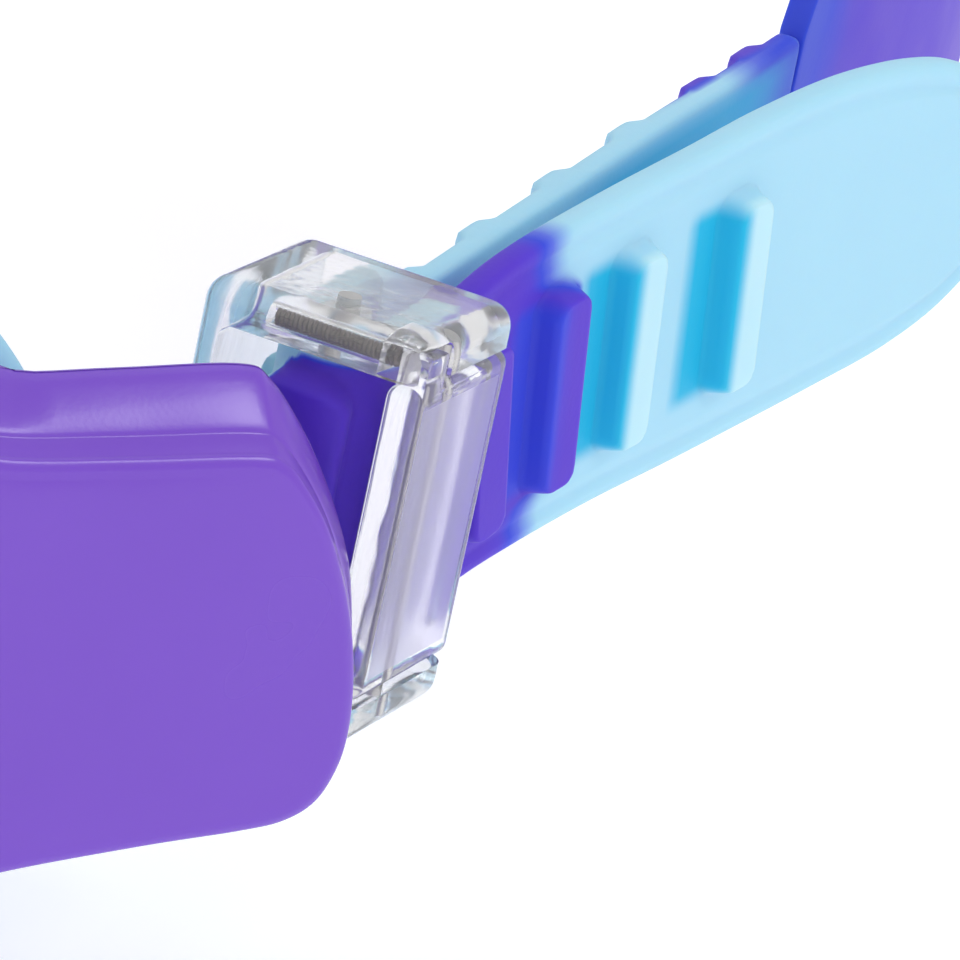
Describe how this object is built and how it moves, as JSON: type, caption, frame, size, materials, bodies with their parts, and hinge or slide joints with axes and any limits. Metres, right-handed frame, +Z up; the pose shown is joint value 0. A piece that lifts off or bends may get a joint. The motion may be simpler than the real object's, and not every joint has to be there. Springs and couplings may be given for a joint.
{
  "type": "swim goggles",
  "caption": "Swim goggles with a moulded frame, clear swivelling strap buckles with release levers, and a ribbed silicone strap that splits in two behind the head.",
  "frame": {"origin": "centre of the bounding box on its lowest plane", "axes": "+X to the wearer's left, +Y back along the strap loop, +Z up; the lenses face -Y"},
  "size_m": [0.1528, 0.165, 0.0541],
  "materials": {
    "frame_plastic": "gloss",
    "lens_plastic": "clear gloss",
    "retainer_plastic": "satin",
    "seal_silicone": "soft satin",
    "buckle_plastic": "clear gloss",
    "roller_plastic": "clear gloss",
    "steel": "bright",
    "strap_silicone": "soft satin"
  },
  "bodies": {
    "frame": {"frame_front": "frame_plastic", "strap_back": "strap_silicone", "lens_left": "lens_plastic", "lens_retainer_left": "retainer_plastic", "face_seal_left": "seal_silicone", "swivel_pin_left": "steel", "strap_run_left": "strap_silicone", "lens_right": "lens_plastic", "lens_retainer_right": "retainer_plastic", "face_seal_right": "seal_silicone", "swivel_pin_right": "steel", "strap_run_right": "strap_silicone"},
    "buckle_left": {"buckle_housing_left": "buckle_plastic", "post_pin_left": "steel", "lever_pin_left": "steel", "lever_spring_left": "steel", "strap_fold_left": "strap_silicone", "strap_tail_left": "strap_silicone"},
    "lever_left": {"release_lever_left": "buckle_plastic"},
    "roller_left": {"strap_roller_left": "roller_plastic"},
    "buckle_right": {"buckle_housing_right": "buckle_plastic", "post_pin_right": "steel", "lever_pin_right": "steel", "lever_spring_right": "steel", "strap_fold_right": "strap_silicone", "strap_tail_right": "strap_silicone"},
    "lever_right": {"release_lever_right": "buckle_plastic"},
    "roller_right": {"strap_roller_right": "roller_plastic"}
  },
  "joints": [
    {"name": "buckle_swivel_left", "type": "hinge", "parent": "frame", "child": "buckle_left", "pos_m": [0.0595, -0.0622, 0.02465], "axis": [0, 0, 1], "range_deg": [-3, 6], "deforming": ["strap_run_left"]},
    {"name": "release_lever_left", "type": "hinge", "parent": "buckle_left", "child": "lever_left", "pos_m": [0.069, -0.0534, 0.02725], "axis": [0, 0, 1], "range_deg": [-8, 0], "stiffness_Nm_per_rad": 0.02, "springref_deg": 3.44, "deforming": ["lever_spring_left"]},
    {"name": "strap_roller_left", "type": "hinge", "parent": "buckle_left", "child": "roller_left", "pos_m": [0.0635, -0.0534, 0.02725], "axis": [0, 0, 1], "continuous": true},
    {"name": "buckle_swivel_right", "type": "hinge", "parent": "frame", "child": "buckle_right", "pos_m": [-0.0595, -0.0622, 0.02465], "axis": [0, 0, 1], "range_deg": [-6, 3], "deforming": ["strap_run_right"]},
    {"name": "release_lever_right", "type": "hinge", "parent": "buckle_right", "child": "lever_right", "pos_m": [-0.069, -0.0534, 0.02725], "axis": [0, 0, 1], "range_deg": [0, 8], "stiffness_Nm_per_rad": 0.02, "springref_deg": -3.44, "deforming": ["lever_spring_right"]},
    {"name": "strap_roller_right", "type": "hinge", "parent": "buckle_right", "child": "roller_right", "pos_m": [-0.0635, -0.0534, 0.02725], "axis": [0, 0, 1], "continuous": true}
  ]
}
